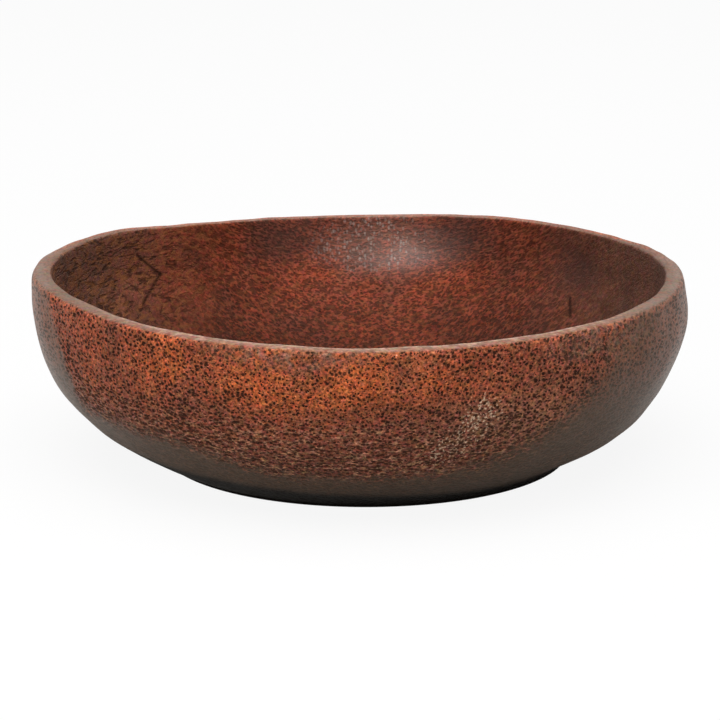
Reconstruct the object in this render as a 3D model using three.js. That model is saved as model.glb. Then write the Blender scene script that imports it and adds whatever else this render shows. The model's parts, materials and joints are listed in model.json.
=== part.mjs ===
// A deep soup plate, hand-carved from one block of coconut palm wood.
// Millimetres, +Z up. It stands on the XY plane, its box is centred on the Z axis and its front faces -Y.
import * as THREE from "three";
import { mergeVertices } from "three/addons/utils/BufferGeometryUtils.js";

// Overall sizes
const BELLY_REACH = 100; // from the axis to the outside of the wall, where it is widest
const RIM_HEIGHT = 56.5; // from the table to the lip, on average
const LIP_WIDTH = 6; // the lip, from the outside of the wall to the hollow
const FLOOR_THICKNESS = 9; // wood under the middle of the hollow
const BELLY_DROP = 14.5; // from the lip down to where the wall is widest
const LIP_ROUND = 2.5; // rounding of the lip's outer edge
const LIP_EASE = 1; // rounding of the lip's inner edge
const FOOT_EASE = 1; // rounding of the foot's edge on the table

// How square the hollow is in section: 2 is half an ellipse, and more is fuller at the corners
const HOLLOW_FULLNESS = 2.8;

// Rings that the outside passes through, from the table up. The inset is how far a ring lies inside the
// belly's reach, right and back say how far its middle strays along +X and +Y, and the follow is the share
// of the rim's hand cut that it takes on.
const FOOT = { height: 0, inset: 36.5, right: 2, back: -1.25, follow: 0 };
const NECK = { height: 3, inset: 33, right: 0.5, back: -0.5, follow: 0 };
const FLANK = { height: 13, inset: 15, right: 1, back: 1.25, follow: 0.3 };
const HAUNCH = { height: 25, inset: 5.5, right: 0, back: 0.25, follow: 0.7 };
const BELLY = { height: RIM_HEIGHT - BELLY_DROP, inset: 0, right: 0.75, back: 0.25, follow: 1 };
const RIM = { height: RIM_HEIGHT, inset: 0.5, right: 0, back: 0, follow: 1 };

// How far the hand-cut rim strays outwards and upwards from a true circle, at even stations. The first
// station is on +X, and the rest go round anticlockwise as seen from above.
const RIM_CUT = [
  { out: 1, up: 0.5 },
  { out: 2.5, up: 0 },
  { out: 0.5, up: 0.25 },
  { out: -1, up: -1.25 },
  { out: -1, up: -1 },
  { out: 0.5, up: 1.75 },
  { out: 1.5, up: 1.25 },
  { out: -2, up: 0.5 },
  { out: -1.5, up: -0.5 },
  { out: 0, up: -1 },
  { out: -0.5, up: -0.75 },
  { out: 0, up: -0.25 },
];

// Fineness of the surface
const RIBS = 72;
const WALL_STEPS = 16;
const ROUND_STEPS = 5;
const EASE_STEPS = 3;
const HOLLOW_STEPS = 15;

// The cut as a closed curve: x is the way out and y the way up at a share of one turn
const rimCut = new THREE.CatmullRomCurve3(
  RIM_CUT.map(({ out, up }) => new THREE.Vector3(out, up, 0)),
  true,
  "catmullrom",
);

// The point of a ring at a share of one turn
function onRing(ring, turn) {
  const angle = turn * 2 * Math.PI;
  const cut = rimCut.getPoint(turn).multiplyScalar(ring.follow);
  const reach = BELLY_REACH - ring.inset + cut.x;
  const x = ring.right + reach * Math.cos(angle);
  const y = ring.back + reach * Math.sin(angle);
  return new THREE.Vector3(x, y, ring.height + cut.y);
}

// A corner moved towards the axis, level
function inwards(corner, distance) {
  const level = new THREE.Vector3(corner.x, corner.y, 0).setLength(distance);
  return corner.clone().sub(level);
}

// A corner moved straight up, or down where the distance is negative
function upwards(corner, distance) {
  return corner.clone().add(new THREE.Vector3(0, 0, distance));
}

// Points of a rounded corner, from start to end
function eased(start, corner, end, steps) {
  return new THREE.QuadraticBezierCurve3(start, corner, end).getPoints(steps);
}

// Points of the hollow, from its upper edge down to the middle of its floor, as a quarter of a superellipse
function hollow(edge) {
  const points = [];
  const depth = edge.z - FLOOR_THICKNESS;
  for (let step = 1; step <= HOLLOW_STEPS; step += 1) {
    const angle = (step / HOLLOW_STEPS) * (Math.PI / 2);
    const reach = step < HOLLOW_STEPS ? Math.cos(angle) ** (2 / HOLLOW_FULLNESS) : 0;
    const sunk = Math.sin(angle) ** (2 / HOLLOW_FULLNESS);
    points.push(new THREE.Vector3(edge.x * reach, edge.y * reach, edge.z - depth * sunk));
  }
  return points;
}

// One section of the plate: under the foot, up the wall, over the lip and down to the middle of the hollow
function rib(turn) {
  const footCorner = onRing(FOOT, turn);
  const footTop = upwards(footCorner, FOOT_EASE);
  const outerLip = onRing(RIM, turn);
  const innerLip = inwards(outerLip, LIP_WIDTH);
  const wallTop = upwards(outerLip, -LIP_ROUND);
  const hollowTop = upwards(innerLip, -LIP_EASE);
  const rings = [NECK, FLANK, HAUNCH, BELLY].map((ring) => onRing(ring, turn));
  const wall = new THREE.CatmullRomCurve3([footTop, ...rings, wallTop]).getPoints(WALL_STEPS);
  return [
    new THREE.Vector3(0, 0, FOOT.height),
    ...eased(inwards(footCorner, FOOT_EASE), footCorner, footTop, EASE_STEPS),
    ...wall.slice(1, -1),
    ...eased(wallTop, outerLip, inwards(outerLip, LIP_ROUND), ROUND_STEPS),
    ...eased(inwards(outerLip, LIP_WIDTH - LIP_EASE), innerLip, hollowTop, EASE_STEPS),
    ...hollow(hollowTop),
  ];
}

// A closed body over ribs laid side by side round the axis, which all share their first and last points
function skin(ribs) {
  const rows = ribs[0].length;
  const faces = [];
  ribs.forEach((_, column) => {
    const here = column * rows;
    const next = ((column + 1) % ribs.length) * rows;
    for (let row = 0; row < rows - 1; row += 1) {
      if (row > 0) faces.push(here + row, next + row, next + row + 1);
      if (row < rows - 2) faces.push(here + row, next + row + 1, here + row + 1);
    }
  });
  const loose = new THREE.BufferGeometry().setFromPoints(ribs.flat()).setIndex(faces);
  const body = mergeVertices(loose);
  body.computeVertexNormals();
  return body;
}

const palmWood = new THREE.MeshStandardMaterial({ color: 0x74331f, roughness: 0.5, metalness: 0 });

const bowl = new THREE.Mesh(skin(Array.from({ length: RIBS }, (_, column) => rib(column / RIBS))), palmWood);
bowl.name = "bowl";

// The hand-cut plan is a little uneven, so the middle of its box goes to the axis
const middle = new THREE.Box3().setFromObject(bowl).getCenter(new THREE.Vector3());
bowl.position.set(-middle.x, -middle.y, 0);

const soupPlate = new THREE.Group();
soupPlate.add(bowl);

export default soupPlate;
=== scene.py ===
"""Dresses the carved palm-wood soup plate for a studio picture.

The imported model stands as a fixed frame. A copy of its bowl gets the swells of hand carving and a finish of
oiled palm wood, and a pale table, soft lamps and a camera make the studio.
"""

import json
import math
from collections import namedtuple

import bpy
from bpy.props import FloatProperty, FloatVectorProperty, IntProperty, PointerProperty
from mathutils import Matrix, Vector

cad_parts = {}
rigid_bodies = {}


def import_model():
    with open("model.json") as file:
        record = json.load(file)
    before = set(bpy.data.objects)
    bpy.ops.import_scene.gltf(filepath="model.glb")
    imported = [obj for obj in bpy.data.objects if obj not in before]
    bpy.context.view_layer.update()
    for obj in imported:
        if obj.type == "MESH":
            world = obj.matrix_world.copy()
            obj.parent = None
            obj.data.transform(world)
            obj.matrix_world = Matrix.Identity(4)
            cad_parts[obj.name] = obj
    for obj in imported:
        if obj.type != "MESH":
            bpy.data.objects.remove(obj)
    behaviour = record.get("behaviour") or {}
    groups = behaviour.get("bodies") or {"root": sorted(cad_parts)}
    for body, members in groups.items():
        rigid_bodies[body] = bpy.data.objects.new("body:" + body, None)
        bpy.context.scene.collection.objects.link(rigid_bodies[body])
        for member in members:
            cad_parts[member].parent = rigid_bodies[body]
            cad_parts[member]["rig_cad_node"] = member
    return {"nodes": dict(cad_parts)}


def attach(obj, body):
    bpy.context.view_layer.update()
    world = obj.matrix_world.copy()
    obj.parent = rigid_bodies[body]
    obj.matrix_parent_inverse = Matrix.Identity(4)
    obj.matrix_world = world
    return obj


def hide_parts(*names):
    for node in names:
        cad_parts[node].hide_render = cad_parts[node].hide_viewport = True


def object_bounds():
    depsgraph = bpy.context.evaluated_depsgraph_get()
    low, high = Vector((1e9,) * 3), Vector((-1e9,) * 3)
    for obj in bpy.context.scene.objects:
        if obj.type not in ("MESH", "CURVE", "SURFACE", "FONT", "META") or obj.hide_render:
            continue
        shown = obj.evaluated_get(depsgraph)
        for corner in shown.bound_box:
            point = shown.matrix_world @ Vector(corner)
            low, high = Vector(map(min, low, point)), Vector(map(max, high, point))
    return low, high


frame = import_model()
CAD_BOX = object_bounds()

bl_info = {
    "name": "Palm Wood Soup Plate",
    "version": (1, 0, 0),
    "blender": (4, 5, 0),
    "location": "View3D > Sidebar > Soup Plate",
    "description": "Carves and finishes a palm-wood soup plate and sets it on a studio table",
    "category": "Add Mesh",
}

MM = 0.001
TO_MILLIMETRES = 1 / MM

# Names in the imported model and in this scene
BOWL_NODE = "bowl"
BOWL_BODY = "root"
BOWL_PIECE = "carved_bowl"
LIP_MARK = "lip"
HOLLOW_MARK = "hollow"
HEWN_GROUP = "hewn"

# Where the copy of the bowl counts as foot, lip or hollow, and how its mesh is cleaned and smoothed
FOOT_TOP = 4 * MM
LIP_BOTTOM = 50 * MM
FLOOR_FACING = 0.7
DOUBLES_REACH = 0.001 * MM
QUAD_ANGLE = math.radians(60)
SWELL_LAYERS = 1

# The camera's film, the table's size, whiteness and gap under the foot, and where the two lamps hang
SENSOR_WIDTH = 36
TABLE_SIDE = 6
TABLE_WHITENESS = 0.9
TABLE_GAP = 0.05 * MM
OVERHEAD_PLACE = Vector((-0.1, -0.35, 1.8))
OVERHEAD_SIDE = 2.4
FRONT_PLACE = Vector((-0.36, -1.25, 0.45))
FRONT_SIDE = 0.5
LAMP_AIM = Vector((0, 0, 0.03))
WHITE = (1, 1, 1, 1)
FULL_STRENGTH = 1

# Sockets of a Mix node, whose names repeat
MIX_FACTOR = 0
MIX_VALUES = (2, 3)
MIX_VALUE_OUT = 0
MIX_COLOURS = (6, 7)
MIX_COLOUR_OUT = 2

# The wood's pattern from here on. Lengths are in millimetres, and a place is (across, depth, height).
# A span is about the width of a noise's features. Pairs such as edges, ends, heights, fades and reaches say
# where a change starts and where it is done. A squeeze below 1 on an axis draws the marks out along it.
NOISE_MIDDLE = (0.5, 0.5, 0.5)
NOISE_DETAIL = 2

# A patch with a soft edge: its middle, its squeeze, and the reach over which it fades
Patch = namedtuple("Patch", ("middle", "squeeze", "reach"))

# Fibre bundles, which show as dark dots
STRAND_SQUEEZE = (1, 0.35, 1)
TANGLE_SPAN = 2.5
TANGLE_REACH = 1.2
DOT_CORE = 0.55
DEPTH_SHARE = 0.25
RAGGED_SPAN = 0.6
RAGGED_STRAY = 0.2
CROWD_SPAN = 12
CROWD_RANGE = (0.65, 1.25)
COARSE_ENDS = (10, 60)
COARSE_GAIN = 1.22
THINNEST_SHARE = 0.45
FAINTEST_SHARE = 0.85
DOTS_UNDER_LIP = 0.35

# The lower part of the wall, where the dots are drawn out sideways and fainter
LOW_HEIGHTS = (21, 43)
LOW_STRETCH = 1.9
LOW_SHARE = 0.85

# Pale ridges between the dots, and pale wrinkles low on the wall
RIDGE_EDGES = (0.02, 0.2)
RIDGE_BREAK_SPAN = 0.9
RIDGE_BREAKS = (0.4, 0.6)
RIDGE_SHARES = (0.2, 0.3)
WRINKLE_SQUEEZE = (0.3, 0.3, 1)
WRINKLE_SPAN = 1.6
WRINKLE_WIDTH = 0.06

# Clouds of tone, and the fine tones and hues of the fibres
CLOUD_SPAN = 7
CLOUD_DETAIL = 3
CLOUD_TONES = (0.35, 1.75)
FIBRE_SPAN = 0.8
FIBRE_DETAIL = 3
FIBRE_TONES = (-0.6, 2.6)
SMOOTH_TONES = (0.4, 1.6)
HUE_SPAN = 1.6
HUE_SWING = 0.8
HUE_LOW = (0.6, 0.6, 0.6)

# Warm, dull and dry patches of the outside
WARM_SPAN = 24
WARM_EDGES = (0.5, 0.75)
WARM_PATCH = Patch(middle=(-10, -99, 47), squeeze=(0.3, 0.5, 1), reach=(3, 17))
DULL_SPAN = 15
DULL_EDGES = (0.45, 0.8)
DULL_SHARE = 0.7
DULL_MIDDLES = ((28, -93, 33), (66, -72, 46))
DULL_PATCHES = [Patch(middle, squeeze=(0.25, 0.25, 1), reach=(3, 15)) for middle in DULL_MIDDLES]
DRY_PATCH = Patch(middle=(45, -83, 33), squeeze=(0.38, 0.38, 1), reach=(2, 15))
DRY_SHARE = 0.42

# The scuffed patch on the front
SCUFF_START = (36, -92, 36)
SCUFF_END = (24, -91, 24)
SCUFF_REACH = (2, 11)
SCUFF_SPAN = 0.8
SCUFF_SWAYS = (0.17, 0.27)
SCUFF_EDGES = (0.74, 0.84)

# The smooth flank over the foot, coloured with painted shade and painted sheen, which climbs towards both
# ends of the front and stays low at the back
FLANK_TOP = 16.5
FLANK_FADE = (-4, 3)
FLANK_SHARE = 0.85
FLANK_WARMTH = (26, 48)
FLANK_THINNING = 0.72
FLANK_DOTS = 0.55
FLANK_STRAY = 5
FLANK_SPAN = 2.5
RIGHT_END = 79
RIGHT_RISE = 40
RIGHT_POWER = 3
SOFT_RIGHT = (20, 70)
RIGHT_SOFTNESS = 2.2
LEFT_SHOULDER = (-20, -60)
LEFT_SHOULDER_RISE = 8
LEFT_END = (-80, -98)
LEFT_END_RISE = 40
BACK_TURN = (-5, 55)

# Painted shade on the foot, which reaches higher on the left
FOOT_FADE = (4.5, 8.5)
FOOT_TILT = 0.06

# Dark marks of the hollow: arcs in the middle, strokes on the left, and both fainter on the right
ARC_RADIUS = 80
ARC_SQUEEZE = (0.62, 0.5, 1.2)
ARC_SPAN = 1.1
ARC_EDGES = (0.48, 0.6)
ARC_TANGLE = 1.8
ARC_GAIN = 1.28
ARC_SHARE = 0.78
SWIRL_SHARE = 0.62
STROKE_SPAN = 1.6
STROKE_SQUEEZE = (0.5, 0.3, 1)
STROKE_LEFT = (-40, -70)
STROKE_DETAIL = 3
STROKE_SWIRL = 0.8
STROKE_EDGES = (0.44, 0.66)
STROKE_SHARE = 0.75
CALM_RIGHT = (50, 85)
CALM_SHARE = 0.4

# Orange flecks and veins of the hollow
EMBER_SPAN = 2
EMBER_EDGES = (0.53, 0.7)
EMBER_SHARES = (0.2, 0.7)
VEIN_SPAN = 3
VEIN_WIDTH = 0.045
VEIN_SHARE = 0.6

# Dim and dull patches, knots and scratches of the hollow
DIM_SPAN = 14
DIM_EDGES = (0.4, 0.7)
DIM_SHARE = 0.45
KNOT_SPACING = 7.5
KNOT_EDGES = (0.04, 0.1)
KNOT_SHARE = 0.8
SMOKE_MIDDLES = ((-22, 89, 48), (34, 87, 50), (70, 61, 43))
SMOKE_PATCHES = [Patch(middle, squeeze=(0.6, 0.6, 1), reach=(2, 13)) for middle in SMOKE_MIDDLES]
SMOKE_SHARE = 0.48
SCRATCH_REACH = (0, 1.1)
SCRATCH_SHARE = 0.85
SCRATCHES = (
    ((-73.4, 58.3, 49.3), (-66.3, 64.3, 41.6)),
    ((-66.3, 64.3, 41.6), (-71.4, 53.9, 33.8)),
    ((69.5, 59.6, 34.5), (69.2, 54.7, 29.6)),
    ((57.5, 74.9, 50), (58.3, 74.1, 50)),
)

# Where the hollow and the lip lose their red, and how the hollow dims at its floor, sides and right end
SIDE_ENDS = (50, 90)
DUSK_HEIGHTS = (14, 42)
DUSK_SHARE = 0.4
SHADE_ENDS = (10, 45)
SIDE_SHADE = 0.69
RIGHT_SHADE = 0.72

# The polished patch of the hollow, with a thin painted highlight and pale painted glints
POLISH_PATCH = Patch(middle=(9, 91, 46), squeeze=(0.45, 0.45, 1), reach=(2, 15))
POLISH_SHARE = 0.38
HIGHLIGHT_PATCH = Patch(middle=(11, 91, 45), squeeze=(0.38, 0.38, 1), reach=(2, 13))
HIGHLIGHT_SHARE = 0.26
SPECK_PATCH = Patch(middle=(6, 92, 46), squeeze=(0.45, 0.45, 1), reach=(4, 13))
SPECK_GRAIN = (1, 1, 0.6)
SPECK_SPACING = 1
SPECK_EDGES = (0.25, 0.65)
SPECK_SHARE = 0.95

# The sanded lip, paler at the front, with a painted highlight along its inner edge, and two patches of
# painted sheen close under it
LIP_EDGES = (0.75, 1)
LIP_STRAY = 0.35
LIP_SPAN = 2.5
LIP_TURN = (-20, 60)
LIP_PALENESS = (0.95, 0.35)
HIGHLIGHT_LINE_EDGES = (0.3, 0.8)
SPOT_SPAN = 2.2
SPOT_EDGES = (0.48, 0.64)
SPOT_SHARE = 0.65
BROW_MIDDLES = ((-20, -98, 56), (73, -67, 53))
BROW_PATCHES = [Patch(middle, squeeze=(0.25, 0.25, 1), reach=(2, 9)) for middle in BROW_MIDDLES]
BROW_SPAN = 3
BROW_EDGES = (0.3, 0.6)
BROW_SHARE = 0.65

# Relief, as shares of the pit depth
RIDGE_HEIGHT = 0.5
STROKE_DEPTH = 0.5
CRUMB_SPAN = 0.6
CRUMB_HEIGHT = 0.5

# Roughness, gloss and sheen
PIT_ROUGHNESS = 0.8
FLANK_ROUGHNESS = 0.35
FLANK_GLOSS = 0.2
COAT_ROUGHNESS = 0.22
SPECULAR_LEVEL = 0.06
SHEEN = 0.03
SHEEN_ROUGHNESS = 0.35


def length_setting(name, description, default):
    """A length that can be set in the sidebar."""
    return FloatProperty(name=name, description=description, default=default, unit="LENGTH")


def colour_setting(name, description, default):
    """A colour that can be set in the sidebar."""
    return FloatVectorProperty(name=name, description=description, default=default, subtype="COLOR")


class BowlSizes(bpy.types.PropertyGroup):
    """Sizes of the carved surface and of the wood's pattern."""

    fineness: IntProperty(
        name="Fineness",
        description="How often the copy of the plain bowl is subdivided",
        default=2,
        min=1,
        max=2,
    )
    hewing_depth: length_setting("Hewing depth", "How far the hand-carved wall swells and dips", 0.4 * MM)
    hewing_span: length_setting("Hewing span", "From one swell of the hand-carved wall to the next", 16 * MM)
    bundle_spacing: length_setting(
        "Bundle spacing", "From one dark fibre bundle to the next, in the depth of the wood", 1.3 * MM
    )
    bundle_radius: length_setting("Bundle radius", "Radius of the thickest dark fibre bundles", 0.54 * MM)
    pit_depth: length_setting(
        "Pit depth", "How deep the ends of the fibre bundles lie under the surface", 0.6 * MM
    )


class WoodColours(bpy.types.PropertyGroup):
    """Colours and roughness of the oiled palm wood."""

    red_ground: colour_setting(
        "Red ground", "Main colour of the wood between its fibre bundles", (0.415, 0.098, 0.044)
    )
    orange_ground: colour_setting("Orange ground", "Warm patches of the wood", (0.62, 0.144, 0.047))
    dark_ground: colour_setting(
        "Dark ground", "Dull patches of the wood, and the ground low on the wall", (0.265, 0.085, 0.05)
    )
    bundle: colour_setting("Fibre bundles", "The dark dots, knots and scratches", (0.03, 0.012, 0.007))
    ridge: colour_setting("Dry ridges", "Paler wood on the ridges between the dots", (0.67, 0.315, 0.185))
    scuff: colour_setting("Scuffs", "Dry bare wood on the ridges of the scuffed patch", (0.95, 0.66, 0.45))
    # Painted shade and painted sheen: the dark, greyish colours of the smooth flank and of its climbing top
    # stand in for shade and reflection
    flank: colour_setting("Flank", "Smooth dark wood low on the wall", (0.105, 0.075, 0.047))
    shaded_flank_top: colour_setting(
        "Flank top", "Smooth wood where the flank climbs towards the lip", (0.147, 0.102, 0.065)
    )
    # Painted shade: the foot's near-black colour stands in for the shade close to the table
    foot: colour_setting("Foot", "Soiled wood close to the table", (0.006, 0.004, 0.003))
    hollow: colour_setting("Hollow", "Ground of the hollow", (0.465, 0.105, 0.052))
    hollow_side: colour_setting(
        "Hollow ends", "Ground of the hollow at its left and right ends", (0.335, 0.145, 0.094)
    )
    ember: colour_setting("Flecks", "Orange flecks and veins in the hollow", (0.52, 0.2, 0.072))
    stroke: colour_setting("Strokes", "Dark arcs and strokes in the hollow", (0.034, 0.019, 0.011))
    lip: colour_setting("Lip", "Sanded wood on top of the rim", (0.38, 0.19, 0.125))
    # Partly painted highlight: the pale line along the lip's inner edge is painted highlight, and the lip's
    # pale spots are its own colour
    lip_highlight_and_spots: colour_setting(
        "Lip edge", "Pale line along the lip's inner edge, and the lip's pale spots", (0.58, 0.38, 0.27)
    )
    lip_end: colour_setting(
        "Lip ends", "Sanded wood on top of the rim at its left and right ends", (0.2, 0.13, 0.09)
    )
    smoke: colour_setting("Dull patches", "Grey-brown patches in the hollow", (0.105, 0.066, 0.058))
    # Painted highlight: the pale colour of the glints and the thin highlight on the polished patch
    glint: colour_setting("Bloom", "Pale bloom on the polished patch of the hollow", (0.56, 0.46, 0.42))
    sheen: colour_setting("Sheen", "Tint of the dusty sheen and of the gloss", (1, 0.86, 0.7))
    roughness: FloatProperty(
        name="Roughness",
        description="Roughness of the oiled wood",
        subtype="FACTOR",
        default=0.45,
        min=0,
        max=1,
    )


class StudioSettings(bpy.types.PropertyGroup):
    """Camera, lamps and table."""

    camera_rise: FloatProperty(
        name="Camera rise",
        description="Angle of the camera above the table",
        subtype="ANGLE",
        default=math.radians(14.15),
    )
    camera_distance: length_setting("Camera distance", "From the aim to the camera", 0.9)
    aim_height: length_setting("Aim height", "Height of the point that the camera looks at", 28.4 * MM)
    lens: FloatProperty(
        name="Lens",
        description="Focal length of the camera",
        subtype="DISTANCE_CAMERA",
        default=144.6,
    )
    overhead_power: FloatProperty(
        name="Overhead power",
        description="Power of the wide lamp above the table",
        subtype="POWER",
        default=42,
    )
    front_power: FloatProperty(
        name="Front power",
        description="Power of the lamp in front of the plate",
        subtype="POWER",
        default=4,
    )
    surround: FloatProperty(
        name="Surround",
        description="Even light from all round",
        default=0.15,
    )
    table: colour_setting("Table", "Colour of the table", (0.35, 0.35, 0.35))


def opaque(colour):
    """A colour with full alpha, as shader sockets take it."""
    return (*colour, 1)


def leave_alone():
    """Deselect everything."""
    bpy.ops.object.select_all(action="DESELECT")


def make_active(piece):
    """Select one object and make it the active one."""
    leave_alone()
    piece.select_set(True)
    bpy.context.view_layer.objects.active = piece


def apply_all(piece):
    """Apply an object's modifiers in their order."""
    make_active(piece)
    for modifier in list(piece.modifiers):
        bpy.ops.object.modifier_apply(modifier=modifier.name)


class Nodes:
    """Adds nodes to one tree and joins them up."""

    def __init__(self, tree):
        self.tree = tree
        tree.nodes.clear()

    def add(self, kind, **settings):
        """A new node with its plain settings."""
        made = self.tree.nodes.new(kind)
        for name, value in settings.items():
            setattr(made, name, value)
        return made

    def feed(self, socket, value):
        """Link an output into a socket, or set a plain value on it."""
        if isinstance(value, bpy.types.NodeSocket):
            self.tree.links.new(value, socket)
        else:
            socket.default_value = value

    def feed_all(self, sockets, values):
        """Feed sockets in their order, for as many values as there are."""
        for socket, value in zip(sockets, values):
            self.feed(socket, value)

    def calc(self, operation, *values, clamp=False):
        """The result of a Math node."""
        made = self.add("ShaderNodeMath", operation=operation, use_clamp=clamp)
        self.feed_all(made.inputs, values)
        return made.outputs["Value"]

    def vectors(self, operation, *values):
        """The outputs of a Vector Math node."""
        made = self.add("ShaderNodeVectorMath", operation=operation)
        self.feed_all(made.inputs, values)
        return made.outputs

    def move(self, operation, first, second):
        """The vector that a Vector Math node makes of two vectors."""
        return self.vectors(operation, first, second)["Vector"]

    def gap(self, first, second):
        """The distance between two points."""
        return self.vectors("DISTANCE", first, second)["Value"]

    def dot(self, first, second):
        """How far one vector reaches along another."""
        return self.vectors("DOT_PRODUCT", first, second)["Value"]

    def length(self, where):
        """The length of a vector."""
        return self.vectors("LENGTH", where)["Value"]

    def stretch(self, where, factor):
        """A vector times one number."""
        made = self.add("ShaderNodeVectorMath", operation="SCALE")
        self.feed(made.inputs["Vector"], where)
        self.feed(made.inputs["Scale"], factor)
        return made.outputs["Vector"]

    def point(self, *parts):
        """A vector given by its three parts."""
        made = self.add("ShaderNodeCombineXYZ")
        self.feed_all(made.inputs, parts)
        return made.outputs["Vector"]

    def parts(self, where):
        """The three parts of a vector."""
        made = self.add("ShaderNodeSeparateXYZ")
        self.feed(made.inputs["Vector"], where)
        return made.outputs["X"], made.outputs["Y"], made.outputs["Z"]

    def channels(self, colour):
        """The red, green and blue of a colour."""
        made = self.add("ShaderNodeSeparateColor")
        self.feed(made.inputs["Color"], colour)
        return made.outputs["Red"], made.outputs["Green"], made.outputs["Blue"]

    def rest(self, share):
        """What a share leaves of 1."""
        return self.calc("SUBTRACT", 1, share)

    def cells(self, where, spacing, feature):
        """A Voronoi Texture whose cells are about a spacing apart."""
        made = self.add("ShaderNodeTexVoronoi", feature=feature)
        self.feed(made.inputs["Vector"], where)
        self.feed(made.inputs["Scale"], 1 / spacing)
        return made

    def noise(self, where, span, detail=NOISE_DETAIL):
        """A Noise Texture whose features are about a span wide."""
        made = self.add("ShaderNodeTexNoise")
        self.feed(made.inputs["Vector"], where)
        self.feed(made.inputs["Scale"], 1 / span)
        self.feed(made.inputs["Detail"], detail)
        return made

    def ease(self, value, start, end):
        """0 up to the start, 1 from the end on, and smooth between."""
        made = self.add("ShaderNodeMapRange", interpolation_type="SMOOTHSTEP", clamp=True)
        self.feed(made.inputs["Value"], value)
        self.feed(made.inputs["From Min"], start)
        self.feed(made.inputs["From Max"], end)
        return made.outputs["Result"]

    def scale(self, value, low, high):
        """A value from 0 to 1 taken to a range."""
        made = self.add("ShaderNodeMapRange", clamp=True)
        self.feed(made.inputs["Value"], value)
        self.feed(made.inputs["To Min"], low)
        self.feed(made.inputs["To Max"], high)
        return made.outputs["Result"]

    def between(self, share, first, second):
        """A value that a share takes from the first to the second."""
        made = self.add("ShaderNodeMix", data_type="FLOAT")
        self.feed(made.inputs[MIX_FACTOR], share)
        self.feed_all((made.inputs[place] for place in MIX_VALUES), (first, second))
        return made.outputs[MIX_VALUE_OUT]

    def blend(self, share, under, over):
        """Two colours mixed by a share."""
        made = self.add("ShaderNodeMix", data_type="RGBA")
        self.feed(made.inputs[MIX_FACTOR], share)
        self.feed_all((made.inputs[place] for place in MIX_COLOURS), (under, over))
        return made.outputs[MIX_COLOUR_OUT]

    def mark(self, name):
        """A value that the mesh carries on its points."""
        return self.add("ShaderNodeAttribute", attribute_name=name).outputs["Fac"]


# Where a shaded point lies, in millimetres, and the shares of it that count as hollow and as outside
Place = namedtuple("Place", ("where", "across", "depth", "height", "hollow", "outside"))

# The marks at a shaded point, each as a share from 0 to 1: marks of the wood, with painted shade and sheen on
# the flank, painted shade on the foot and painted glints in the hollow among them
MARK_NAMES = ("low", "lip", "dots", "ridges", "folds", "dark", "ember", "worn", "dirty", "specks")
Marks = namedtuple("Marks", MARK_NAMES)


def read_place(nodes):
    """The place of a shaded point in the bowl."""
    where = nodes.stretch(nodes.add("ShaderNodeTexCoord").outputs["Object"], TO_MILLIMETRES)
    hollow = nodes.mark(HOLLOW_MARK)
    return Place(where, *nodes.parts(where), hollow, nodes.rest(hollow))


def tangled(nodes, where, span, reach):
    """Places in the wood, shifted about so that its pattern isn't even."""
    stir = nodes.noise(where, span).outputs["Color"]
    stir = nodes.move("SUBTRACT", stir, NOISE_MIDDLE)
    return nodes.move("ADD", where, nodes.stretch(stir, reach))


def waves(nodes, where, span, width):
    """Thin wavy lines about a span apart."""
    wave = nodes.calc("SUBTRACT", nodes.noise(where, span).outputs["Fac"], NOISE_MIDDLE[0])
    return nodes.rest(nodes.ease(nodes.calc("ABSOLUTE", wave), 0, width))


def swirled(nodes, where, span, edges):
    """Strokes about a span wide that swirl through the wood."""
    swirl = nodes.noise(where, span, STROKE_DETAIL)
    nodes.feed(swirl.inputs["Distortion"], STROKE_SWIRL)
    return nodes.ease(swirl.outputs["Fac"], *edges)


def near(nodes, where, patch):
    """1 at a patch's middle and 0 far from it, over an ellipsoid."""
    away = nodes.move("MULTIPLY", nodes.move("SUBTRACT", where, patch.middle), patch.squeeze)
    return nodes.rest(nodes.ease(nodes.length(away), *patch.reach))


def streak(nodes, where, start, end, reach):
    """1 along a straight line and 0 away from it."""
    start, end = Vector(start), Vector(end)
    line = end - start
    offset = nodes.move("SUBTRACT", where, start)
    along = nodes.calc("DIVIDE", nodes.dot(offset, line), line.length_squared, clamp=True)
    away = nodes.gap(offset, nodes.stretch(line, along))
    return nodes.rest(nodes.ease(away, *reach))


def clouded(nodes, where, colour):
    """A colour with broad clouds of tone."""
    clouds = nodes.noise(where, CLOUD_SPAN, CLOUD_DETAIL).outputs["Fac"]
    return nodes.stretch(colour, nodes.scale(clouds, *CLOUD_TONES))


def fibred(nodes, where, colour, tones):
    """A colour with the fine unevenness of tone and hue that the fibres give it."""
    tone = nodes.scale(nodes.noise(where, FIBRE_SPAN, FIBRE_DETAIL).outputs["Fac"], *tones)
    hue = nodes.stretch(nodes.noise(where, HUE_SPAN).outputs["Color"], HUE_SWING)
    hue = nodes.move("ADD", hue, HUE_LOW)
    return nodes.move("MULTIPLY", nodes.stretch(colour, tone), hue)


def bundle_radius(nodes, where, across, dice, thickest):
    """Radius of a dark fibre bundle, which differs from one to the next and grows towards the two ends."""
    crowd = nodes.scale(nodes.noise(where, CROWD_SPAN).outputs["Fac"], *CROWD_RANGE)
    ends = nodes.ease(nodes.calc("ABSOLUTE", across), *COARSE_ENDS)
    crowd = nodes.calc("MULTIPLY", crowd, nodes.scale(ends, 1, COARSE_GAIN))
    radius = nodes.calc("MULTIPLY", nodes.scale(dice, THINNEST_SHARE, 1), crowd)
    return nodes.calc("MULTIPLY", radius, thickest)


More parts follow.
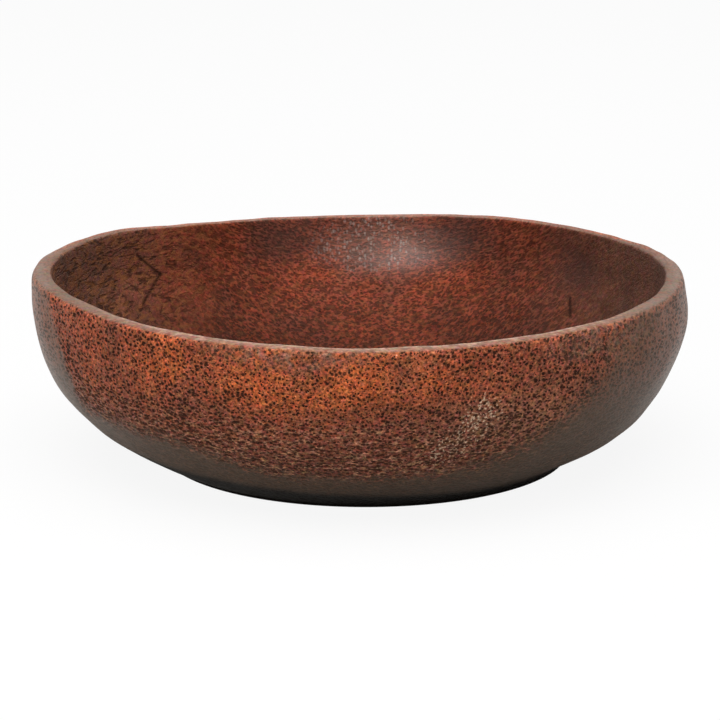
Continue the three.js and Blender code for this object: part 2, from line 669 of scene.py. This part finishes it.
def bundle_ends(nodes, where, across, low, spacing, thickest):
    """Ends of the dark fibre bundles: 1 inside a dot and 0 on the ground around it.

    The bundles run from front to back, so they show as dots on the front and as dashes at the two ends.
    Low on the wall the dots are drawn out sideways and fainter.
    """
    cells = nodes.cells(where, spacing, "F1")
    sideways, lengthwise, upwards = nodes.parts(nodes.move("SUBTRACT", where, cells.outputs["Position"]))
    sideways = nodes.calc("DIVIDE", sideways, nodes.scale(low, 1, LOW_STRETCH))
    lengthwise = nodes.calc("MULTIPLY", lengthwise, DEPTH_SHARE)
    reach = nodes.length(nodes.point(sideways, lengthwise, upwards))
    ragged = nodes.noise(where, RAGGED_SPAN).outputs["Fac"]
    reach = nodes.calc("ADD", reach, nodes.scale(ragged, -RAGGED_STRAY, RAGGED_STRAY))
    size_dice, tone_dice, _ = nodes.channels(cells.outputs["Color"])
    radius = bundle_radius(nodes, where, across, size_dice, thickest)
    inside = nodes.rest(nodes.ease(reach, nodes.calc("MULTIPLY", radius, DOT_CORE), radius))
    inside = nodes.calc("MULTIPLY", inside, nodes.scale(low, 1, LOW_SHARE))
    return nodes.calc("MULTIPLY", inside, nodes.scale(tone_dice, FAINTEST_SHARE, 1))


def ridge_net(nodes, where, spacing):
    """Thin broken ridges that part one bundle from the next."""
    cells = nodes.cells(where, spacing, "DISTANCE_TO_EDGE")
    ridge = nodes.rest(nodes.ease(cells.outputs["Distance"], *RIDGE_EDGES))
    broken = nodes.ease(nodes.noise(where, RIDGE_BREAK_SPAN).outputs["Fac"], *RIDGE_BREAKS)
    return nodes.calc("MULTIPLY", ridge, broken)


def wrinkles(nodes, where, low):
    """Thin pale lines that run in waves round the lower part of the wall."""
    lying = nodes.move("MULTIPLY", where, WRINKLE_SQUEEZE)
    return nodes.calc("MULTIPLY", waves(nodes, lying, WRINKLE_SPAN, WRINKLE_WIDTH), low)


def below(nodes, height, top, stray, softness):
    """1 below an uneven line and 0 above it."""
    over = nodes.calc("ADD", nodes.calc("SUBTRACT", height, top), stray)
    return nodes.rest(nodes.ease(nodes.calc("DIVIDE", over, softness), *FLANK_FADE))


def painted_flank_shade(nodes, place):
    """Where the wall is smooth and gets painted shade and painted sheen: over the foot, and climbing and
    thinning to the front's ends.
    """
    across, height = place.across, place.height
    right = nodes.calc("DIVIDE", nodes.calc("MAXIMUM", across, 0), RIGHT_END)
    top = nodes.calc("MULTIPLY_ADD", nodes.calc("POWER", right, RIGHT_POWER), RIGHT_RISE, FLANK_TOP)
    top = nodes.calc("MULTIPLY_ADD", nodes.ease(across, *LEFT_SHOULDER), LEFT_SHOULDER_RISE, top)
    top = nodes.calc("MULTIPLY_ADD", nodes.ease(across, *LEFT_END), LEFT_END_RISE, top)
    stray = nodes.scale(nodes.noise(place.where, FLANK_SPAN).outputs["Fac"], -FLANK_STRAY, FLANK_STRAY)
    softness = nodes.scale(nodes.ease(across, *SOFT_RIGHT), 1, RIGHT_SOFTNESS)
    front = below(nodes, height, top, stray, softness)
    back = below(nodes, height, FLANK_TOP, stray, softness)
    worn = nodes.between(nodes.ease(place.depth, *BACK_TURN), front, back)
    worn = nodes.calc("MULTIPLY", worn, FLANK_SHARE)
    worn = nodes.calc("MULTIPLY", worn, nodes.scale(nodes.ease(height, *FLANK_WARMTH), 1, FLANK_THINNING))
    return nodes.calc("MULTIPLY", worn, place.outside)


def painted_foot_shade(nodes, place):
    """Where the wall gets painted shade: close to the table, and a little higher on the left."""
    tilted = nodes.calc("MULTIPLY_ADD", place.across, FOOT_TILT, place.height)
    return nodes.calc("MULTIPLY", nodes.rest(nodes.ease(tilted, *FOOT_FADE)), place.outside)


def arc_marks(nodes, place, spacing, thickest):
    """Dark marks of the hollow: bundle ends and swirls along arcs that hang between its two ends."""
    sag = nodes.calc("DIVIDE", nodes.calc("MULTIPLY", place.across, place.across), 2 * ARC_RADIUS)
    hung = nodes.point(place.across, place.depth, nodes.calc("SUBTRACT", place.height, sag))
    hung = nodes.move("MULTIPLY", hung, ARC_SQUEEZE)
    swirls = nodes.calc("MULTIPLY", swirled(nodes, hung, ARC_SPAN, ARC_EDGES), SWIRL_SHARE)
    hung = tangled(nodes, hung, TANGLE_SPAN, ARC_TANGLE)
    ends = bundle_ends(nodes, hung, place.across, 0, spacing, ARC_GAIN * thickest)
    return nodes.calc("MAXIMUM", nodes.calc("MULTIPLY", ends, ARC_SHARE), swirls)


def hollow_marks(nodes, place, spacing, thickest):
    """Dark marks and orange flecks of the hollow, with coarse strokes and veins on the left."""
    lying = nodes.move("MULTIPLY", place.where, STROKE_SQUEEZE)
    left = nodes.ease(place.across, *STROKE_LEFT)
    calm = nodes.scale(nodes.ease(place.across, *CALM_RIGHT), 1, CALM_SHARE)
    strokes = nodes.calc("MULTIPLY", swirled(nodes, lying, STROKE_SPAN, STROKE_EDGES), STROKE_SHARE)
    dark = nodes.between(left, arc_marks(nodes, place, spacing, thickest), strokes)
    flecks = nodes.noise(lying, EMBER_SPAN, STROKE_DETAIL)
    ember = nodes.calc("MULTIPLY", nodes.ease(flecks.outputs["Fac"], *EMBER_EDGES), calm)
    ember = nodes.calc("MULTIPLY", ember, nodes.scale(left, *EMBER_SHARES))
    veins = nodes.calc("MULTIPLY", waves(nodes, lying, VEIN_SPAN, VEIN_WIDTH), left)
    ember = nodes.calc("MAXIMUM", ember, nodes.calc("MULTIPLY", veins, VEIN_SHARE))
    return nodes.calc("MULTIPLY", dark, calm), ember


def painted_glints(nodes, place):
    """Pale painted glints and a thin painted highlight on the polished patch of the hollow."""
    where = place.where
    cells = nodes.cells(nodes.move("MULTIPLY", where, SPECK_GRAIN), SPECK_SPACING, "F1")
    dice, _, _ = nodes.channels(cells.outputs["Color"])
    specks = nodes.rest(nodes.ease(cells.outputs["Distance"], *SPECK_EDGES))
    specks = nodes.calc("MULTIPLY", nodes.calc("MULTIPLY", specks, dice), near(nodes, where, SPECK_PATCH))
    specks = nodes.calc("MULTIPLY", specks, SPECK_SHARE)
    highlight = nodes.calc("MULTIPLY", near(nodes, where, HIGHLIGHT_PATCH), HIGHLIGHT_SHARE)
    return nodes.calc("MULTIPLY", nodes.calc("MAXIMUM", specks, highlight), place.hollow)


def lip_strip(nodes, where):
    """How far a place belongs to the sanded lip, which fades into the wall over its rounding."""
    stray = nodes.scale(nodes.noise(where, LIP_SPAN).outputs["Fac"], -LIP_STRAY, LIP_STRAY)
    mark = nodes.mark(LIP_MARK)
    return nodes.ease(nodes.calc("MULTIPLY_ADD", stray, nodes.rest(mark), mark), *LIP_EDGES)


def draw_marks(nodes, place, sizes):
    """All the marks of the wood."""
    where = place.where
    spacing = sizes.bundle_spacing * TO_MILLIMETRES
    thickest = sizes.bundle_radius * TO_MILLIMETRES
    low = nodes.rest(nodes.ease(place.height, *LOW_HEIGHTS))
    lip = lip_strip(nodes, where)
    stirred = tangled(nodes, nodes.move("MULTIPLY", where, STRAND_SQUEEZE), TANGLE_SPAN, TANGLE_REACH)
    ends = bundle_ends(nodes, stirred, place.across, low, spacing, thickest)
    dark, ember = hollow_marks(nodes, place, spacing, thickest)
    return Marks(
        low=low,
        lip=lip,
        dots=nodes.calc("MULTIPLY", ends, nodes.scale(lip, 1, DOTS_UNDER_LIP)),
        ridges=ridge_net(nodes, stirred, spacing),
        folds=wrinkles(nodes, where, low),
        dark=dark,
        ember=ember,
        worn=painted_flank_shade(nodes, place),
        dirty=painted_foot_shade(nodes, place),
        specks=painted_glints(nodes, place),
    )


def ground_colour(nodes, where, colours):
    """The wood between the dots: red, with orange and dull patches and clouds of tone."""
    warm = nodes.ease(nodes.noise(where, WARM_SPAN).outputs["Fac"], *WARM_EDGES)
    warm = nodes.calc("MAXIMUM", warm, near(nodes, where, WARM_PATCH))
    dull = nodes.ease(nodes.noise(where, DULL_SPAN).outputs["Fac"], *DULL_EDGES)
    for patch in DULL_PATCHES:
        dull = nodes.calc("MAXIMUM", dull, near(nodes, where, patch))
    colour = nodes.blend(warm, opaque(colours.red_ground), opaque(colours.orange_ground))
    colour = nodes.blend(nodes.calc("MULTIPLY", dull, DULL_SHARE), colour, opaque(colours.dark_ground))
    return clouded(nodes, where, colour)


def wall_colour(nodes, where, marks, colours):
    """The outside: ground, dry ridges and wrinkles, dark dots and one scuffed patch."""
    ground = nodes.blend(marks.low, ground_colour(nodes, where, colours), opaque(colours.dark_ground))
    share = nodes.calc("MULTIPLY", marks.ridges, nodes.scale(marks.low, *RIDGE_SHARES))
    share = nodes.calc("MAXIMUM", share, marks.folds)
    dry = nodes.calc("MULTIPLY", near(nodes, where, DRY_PATCH), DRY_SHARE)
    share = nodes.calc("MAXIMUM", share, dry)
    wood = fibred(nodes, where, nodes.blend(share, ground, opaque(colours.ridge)), FIBRE_TONES)
    wood = nodes.blend(marks.dots, wood, opaque(colours.bundle))
    scuffed = streak(nodes, where, SCUFF_START, SCUFF_END, SCUFF_REACH)
    sway = nodes.scale(marks.ridges, *SCUFF_SWAYS)
    bare = nodes.calc("MULTIPLY_ADD", scuffed, sway, nodes.noise(where, SCUFF_SPAN).outputs["Fac"])
    return nodes.blend(nodes.ease(bare, *SCUFF_EDGES), wood, opaque(colours.scuff))


def flank_colour(nodes, height, dots, colours):
    """The smooth flank in painted shade and painted sheen: dark and plain low down, and paler with faint dots
    where it climbs.
    """
    upper = nodes.ease(height, *FLANK_WARMTH)
    wood = nodes.blend(upper, opaque(colours.flank), opaque(colours.shaded_flank_top))
    dotted = nodes.calc("MULTIPLY", nodes.calc("MULTIPLY", dots, upper), FLANK_DOTS)
    return nodes.blend(dotted, wood, opaque(colours.bundle))


def hollow_shade(nodes, place, aside):
    """How bright the hollow is: dimmer at its floor, sides and right end."""
    shade = nodes.scale(nodes.ease(place.height, *DUSK_HEIGHTS), DUSK_SHARE, 1)
    shade = nodes.calc("MULTIPLY", shade, nodes.scale(nodes.ease(aside, *SHADE_ENDS), 1, SIDE_SHADE))
    right = nodes.scale(nodes.ease(place.across, *CALM_RIGHT), 1, RIGHT_SHADE)
    return nodes.calc("MULTIPLY", shade, right)


def hollow_colour(nodes, place, marks, colours):
    """The inside: clouded wood with dim patches, arcs, strokes, flecks, knots and scratches."""
    where = place.where
    aside = nodes.calc("ABSOLUTE", place.across)
    wood = nodes.blend(nodes.ease(aside, *SIDE_ENDS), opaque(colours.hollow), opaque(colours.hollow_side))
    wood = fibred(nodes, where, clouded(nodes, where, wood), SMOOTH_TONES)
    dim = nodes.ease(nodes.noise(where, DIM_SPAN).outputs["Fac"], *DIM_EDGES)
    wood = nodes.blend(nodes.calc("MULTIPLY", dim, DIM_SHARE), wood, opaque(colours.smoke))
    wood = nodes.blend(marks.dark, wood, opaque(colours.stroke))
    wood = nodes.blend(marks.ember, wood, opaque(colours.ember))
    knots = nodes.rest(nodes.ease(nodes.cells(where, KNOT_SPACING, "F1").outputs["Distance"], *KNOT_EDGES))
    wood = nodes.blend(nodes.calc("MULTIPLY", knots, KNOT_SHARE), wood, opaque(colours.bundle))
    for patch in SMOKE_PATCHES:
        share = nodes.calc("MULTIPLY", near(nodes, where, patch), SMOKE_SHARE)
        wood = nodes.blend(share, wood, opaque(colours.smoke))
    for start, end in SCRATCHES:
        share = nodes.calc("MULTIPLY", streak(nodes, where, start, end, SCRATCH_REACH), SCRATCH_SHARE)
        wood = nodes.blend(share, wood, opaque(colours.bundle))
    return nodes.stretch(wood, hollow_shade(nodes, place, aside))


def brow(nodes, place):
    """Two patches of painted sheen on the front, close under the lip."""
    left, right = (near(nodes, place.where, patch) for patch in BROW_PATCHES)
    painted_sheen = nodes.ease(nodes.noise(place.where, BROW_SPAN).outputs["Fac"], *BROW_EDGES)
    painted_sheen = nodes.calc("MULTIPLY", painted_sheen, nodes.calc("MAXIMUM", left, right))
    return nodes.calc("MULTIPLY", nodes.calc("MULTIPLY", painted_sheen, BROW_SHARE), place.outside)


def lip_colour(nodes, place, colours):
    """The sanded lip: tan with pale, brown and grey spots and a painted highlight along its inner edge,
    greyer at its two ends.
    """
    ends = nodes.ease(nodes.calc("ABSOLUTE", place.across), *SIDE_ENDS)
    wood = nodes.blend(ends, opaque(colours.lip), opaque(colours.lip_end))
    spots = nodes.channels(nodes.noise(place.where, SPOT_SPAN, FIBRE_DETAIL).outputs["Color"])
    spots = [nodes.calc("MULTIPLY", nodes.ease(spot, *SPOT_EDGES), SPOT_SHARE) for spot in spots]
    brown, grey, pale = spots
    # Painted highlight along the lip's inner edge
    pale = nodes.calc("MAXIMUM", pale, nodes.ease(place.hollow, *HIGHLIGHT_LINE_EDGES))
    wood = nodes.blend(nodes.calc("MULTIPLY", pale, nodes.rest(ends)), wood, opaque(colours.lip_highlight_and_spots))
    wood = nodes.blend(brown, wood, opaque(colours.dark_ground))
    wood = nodes.blend(grey, wood, opaque(colours.lip_end))
    return fibred(nodes, place.where, wood, SMOOTH_TONES)


def wood_colour(nodes, place, marks, colours):
    """The colour of the whole bowl: wall, flank, foot, hollow and lip."""
    wood = wall_colour(nodes, place.where, marks, colours)
    # Painted shade and painted sheen on the smooth flank
    wood = nodes.blend(marks.worn, wood, flank_colour(nodes, place.height, marks.dots, colours))
    # Painted shade on the foot close to the table
    wood = nodes.blend(marks.dirty, wood, opaque(colours.foot))
    wood = nodes.blend(place.hollow, wood, hollow_colour(nodes, place, marks, colours))
    # Painted glints and a painted highlight on the polished patch of the hollow
    wood = nodes.blend(marks.specks, wood, opaque(colours.glint))
    pale = nodes.scale(nodes.ease(place.depth, *LIP_TURN), *LIP_PALENESS)
    # The sanded lip, and painted sheen close under it
    sanded = nodes.calc("MULTIPLY", nodes.calc("MAXIMUM", marks.lip, brow(nodes, place)), pale)
    return nodes.blend(sanded, wood, lip_colour(nodes, place, colours))


def pitted(nodes, place, marks, depth):
    """The surface's normal, with pits at the bundles' ends, ridges between them, and crumbs of wood."""
    relief = nodes.calc("MAXIMUM", marks.ridges, marks.folds)
    relief = nodes.calc("MULTIPLY_ADD", relief, RIDGE_HEIGHT, nodes.calc("MULTIPLY", marks.dots, -1))
    relief = nodes.between(place.hollow, relief, nodes.calc("MULTIPLY", marks.dark, -STROKE_DEPTH))
    crumbs = nodes.noise(place.where, CRUMB_SPAN, FIBRE_DETAIL).outputs["Fac"]
    relief = nodes.calc("MULTIPLY_ADD", crumbs, CRUMB_HEIGHT, relief)
    relief = nodes.calc("MULTIPLY", relief, nodes.rest(nodes.calc("MAXIMUM", marks.lip, marks.worn)))
    pits = nodes.add("ShaderNodeBump")
    nodes.feed(pits.inputs["Distance"], depth)
    nodes.feed(pits.inputs["Height"], relief)
    return pits.outputs["Normal"]


def roughened(nodes, marks, roughness):
    """Roughness of the wood: more in the pits, and less on the smooth flank."""
    return nodes.between(marks.worn, nodes.between(marks.dots, roughness, PIT_ROUGHNESS), FLANK_ROUGHNESS)


def glossed(nodes, place, marks):
    """Gloss of the smooth flank away from the shaded foot, and of the polished patch of the hollow."""
    worn = nodes.calc("MULTIPLY", nodes.calc("MULTIPLY", marks.worn, nodes.rest(marks.dirty)), FLANK_GLOSS)
    polish = nodes.calc("MULTIPLY", near(nodes, place.where, POLISH_PATCH), place.hollow)
    return nodes.calc("MAXIMUM", nodes.calc("MULTIPLY", polish, POLISH_SHARE), worn)


def palm_wood(sizes, colours):
    """Oiled red-brown palm wood with dark fibre bundles."""
    material = bpy.data.materials.new("palm_wood")
    material.use_nodes = True
    nodes = Nodes(material.node_tree)
    place = read_place(nodes)
    marks = draw_marks(nodes, place, sizes)
    looks = {
        "Base Color": wood_colour(nodes, place, marks, colours),
        "Roughness": roughened(nodes, marks, colours.roughness),
        "Normal": pitted(nodes, place, marks, sizes.pit_depth),
        "Specular IOR Level": SPECULAR_LEVEL,
        "Sheen Weight": SHEEN,
        "Sheen Roughness": SHEEN_ROUGHNESS,
        "Sheen Tint": opaque(colours.sheen),
        "Coat Weight": glossed(nodes, place, marks),
        "Coat Roughness": COAT_ROUGHNESS,
        "Coat Tint": opaque(colours.sheen),
    }
    finish = nodes.add("ShaderNodeBsdfPrincipled")
    for name, value in looks.items():
        nodes.feed(finish.inputs[name], value)
    output = nodes.add("ShaderNodeOutputMaterial")
    nodes.feed(output.inputs["Surface"], finish.outputs["BSDF"])
    return material


def copy_of_bowl():
    """The plain bowl's mesh as a new object, with its loose triangles joined into quads."""
    make_active(frame["nodes"][BOWL_NODE])
    bpy.ops.object.duplicate()
    piece = bpy.context.view_layer.objects.active
    piece.name = BOWL_PIECE
    piece.data.name = BOWL_PIECE
    del piece["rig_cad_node"]
    bpy.ops.object.mode_set(mode="EDIT")
    bpy.ops.mesh.select_all(action="SELECT")
    bpy.ops.mesh.remove_doubles(threshold=DOUBLES_REACH)
    bpy.ops.mesh.tris_convert_to_quads(face_threshold=QUAD_ANGLE, shape_threshold=QUAD_ANGLE)
    bpy.ops.mesh.select_all(action="DESELECT")
    bpy.ops.object.mode_set(mode="OBJECT")
    return piece


def mark_points(piece):
    """Write on each point how far it faces up, if it is on the lip, and if it is on the hollow's side."""
    lip = piece.data.attributes.new(LIP_MARK, "FLOAT", "POINT")
    hollow = piece.data.attributes.new(HOLLOW_MARK, "FLOAT", "POINT")
    for point in piece.data.vertices:
        facing = point.normal
        outwards = facing.x * point.co.x + facing.y * point.co.y
        high = point.co.z > LIP_BOTTOM
        on_floor = facing.z > FLOOR_FACING and not high
        lip.data[point.index].value = max(facing.z, 0) if high else 0
        hollow.data[point.index].value = float(outwards < 0 or on_floor)


def hew(piece, sizes):
    """Smooth the bowl, and let its wall swell and dip as hand carving does. The foot stays flat."""
    group = piece.vertex_groups.new(name=HEWN_GROUP)
    group.add([point.index for point in piece.data.vertices if point.co.z > FOOT_TOP], 1, "REPLACE")
    smooth = piece.modifiers.new("smooth", "SUBSURF")
    smooth.levels = sizes.fineness
    smooth.render_levels = sizes.fineness
    swells = bpy.data.textures.new("hewing", "CLOUDS")
    swells.noise_scale = sizes.hewing_span
    swells.noise_depth = SWELL_LAYERS
    hewing = piece.modifiers.new("hewing", "DISPLACE")
    hewing.texture = swells
    # The strength runs from the deepest dip to the highest swell
    hewing.strength = 2 * sizes.hewing_depth
    hewing.vertex_group = HEWN_GROUP
    apply_all(piece)
    bpy.ops.object.shade_smooth()


class SOUPPLATE_OT_bowl(bpy.types.Operator):
    """Carve the bowl over the plain one and finish it in palm wood"""

    bl_idname = "soup_plate.bowl"
    bl_label = "Carve Bowl"

    def execute(self, context):
        sizes = context.scene.bowl_sizes
        piece = copy_of_bowl()
        mark_points(piece)
        hew(piece, sizes)
        piece.data.materials.clear()
        piece.data.materials.append(palm_wood(sizes, context.scene.wood_colours))
        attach(piece, BOWL_BODY)
        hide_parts(BOWL_NODE)
        return {"FINISHED"}


def white_to_camera(nodes):
    """1 for rays that show the background to the camera, straight or in a reflection."""
    path = nodes.add("ShaderNodeLightPath").outputs
    seen = nodes.calc("MAXIMUM", path["Is Camera Ray"], path["Is Glossy Ray"])
    return nodes.calc("MAXIMUM", seen, path["Is Transmission Ray"])


def table_material(studio):
    """A pale table that shows white and keeps a soft shadow."""
    material = bpy.data.materials.new("pale_table")
    material.use_nodes = True
    nodes = Nodes(material.node_tree)
    lit = nodes.add("ShaderNodeBsdfDiffuse")
    nodes.feed(lit.inputs["Color"], nodes.blend(white_to_camera(nodes), opaque(studio.table), WHITE))
    white = nodes.add("ShaderNodeEmission")
    straight = nodes.add("ShaderNodeLightPath").outputs["Is Camera Ray"]
    share = nodes.calc("MULTIPLY", straight, TABLE_WHITENESS)
    both = nodes.add("ShaderNodeMixShader")
    nodes.feed_all(both.inputs, (share, lit.outputs["BSDF"], white.outputs["Emission"]))
    output = nodes.add("ShaderNodeOutputMaterial")
    nodes.feed(output.inputs["Surface"], both.outputs["Shader"])
    return material


def lay_table(studio):
    """The table under the plate."""
    leave_alone()
    lowest = CAD_BOX[0].z
    bpy.ops.mesh.primitive_plane_add(size=TABLE_SIDE, location=(0, 0, lowest - TABLE_GAP))
    table = bpy.context.view_layer.objects.active
    table.name = "table"
    table.data.materials.append(table_material(studio))


def hang_lamp(name, place, side, power):
    """A square soft lamp that faces the plate."""
    leave_alone()
    bpy.ops.object.light_add(type="AREA", location=place)
    lamp = bpy.context.view_layer.objects.active
    lamp.name = name
    lamp.data.size = side
    lamp.data.energy = power
    lamp.rotation_euler = (LAMP_AIM - place).to_track_quat("-Z", "Y").to_euler()


def surround(studio):
    """An even pale room, white behind the plate."""
    world = bpy.data.worlds.new("studio")
    bpy.context.scene.world = world
    world.use_nodes = True
    nodes = Nodes(world.node_tree)
    strength = nodes.scale(white_to_camera(nodes), studio.surround, FULL_STRENGTH)
    room = nodes.add("ShaderNodeBackground")
    nodes.feed(room.inputs["Color"], WHITE)
    nodes.feed(room.inputs["Strength"], strength)
    output = nodes.add("ShaderNodeOutputWorld")
    nodes.feed(output.inputs["Surface"], room.outputs["Background"])


def set_camera(studio):
    """The camera in front of the plate, a little above it."""
    leave_alone()
    aim = Vector((0, 0, studio.aim_height))
    away = Vector((0, -math.cos(studio.camera_rise), math.sin(studio.camera_rise)))
    bpy.ops.object.camera_add(location=aim + studio.camera_distance * away)
    camera = bpy.context.view_layer.objects.active
    camera.name = "camera"
    camera.rotation_euler = (-away).to_track_quat("-Z", "Y").to_euler()
    camera.data.sensor_width = SENSOR_WIDTH
    camera.data.lens = studio.lens
    bpy.context.scene.camera = camera


class SOUPPLATE_OT_stage(bpy.types.Operator):
    """Lay the table, hang the lamps and set the camera"""

    bl_idname = "soup_plate.stage"
    bl_label = "Set Stage"

    def execute(self, context):
        studio = context.scene.studio_settings
        lay_table(studio)
        hang_lamp("overhead", OVERHEAD_PLACE, OVERHEAD_SIDE, studio.overhead_power)
        hang_lamp("front", FRONT_PLACE, FRONT_SIDE, studio.front_power)
        surround(studio)
        set_camera(studio)
        context.scene.view_settings.view_transform = "Standard"
        return {"FINISHED"}


class SOUPPLATE_PT_sidebar(bpy.types.Panel):
    """Steps and settings of the soup plate"""

    bl_idname = "SOUPPLATE_PT_sidebar"
    bl_label = "Soup Plate"
    bl_space_type = "VIEW_3D"
    bl_region_type = "UI"
    bl_category = "Soup Plate"

    def draw(self, context):
        for operator in (SOUPPLATE_OT_bowl, SOUPPLATE_OT_stage):
            self.layout.operator(operator.bl_idname)
        for settings in ("bowl_sizes", "wood_colours", "studio_settings"):
            group = getattr(context.scene, settings)
            column = self.layout.box().column()
            for name in group.__annotations__:
                column.prop(group, name)


CLASSES = (
    BowlSizes,
    WoodColours,
    StudioSettings,
    SOUPPLATE_OT_bowl,
    SOUPPLATE_OT_stage,
    SOUPPLATE_PT_sidebar,
)


def register():
    """Make the settings, steps and panel known to Blender."""
    for item in CLASSES:
        bpy.utils.register_class(item)
    bpy.types.Scene.bowl_sizes = PointerProperty(type=BowlSizes)
    bpy.types.Scene.wood_colours = PointerProperty(type=WoodColours)
    bpy.types.Scene.studio_settings = PointerProperty(type=StudioSettings)


def unregister():
    """Take the settings, steps and panel away again."""
    del bpy.types.Scene.studio_settings
    del bpy.types.Scene.wood_colours
    del bpy.types.Scene.bowl_sizes
    for item in reversed(CLASSES):
        bpy.utils.unregister_class(item)


def main():
    """Build the dressed plate and its studio."""
    register()
    bpy.ops.soup_plate.bowl()
    bpy.ops.soup_plate.stage()


if __name__ == "__main__":
    main()
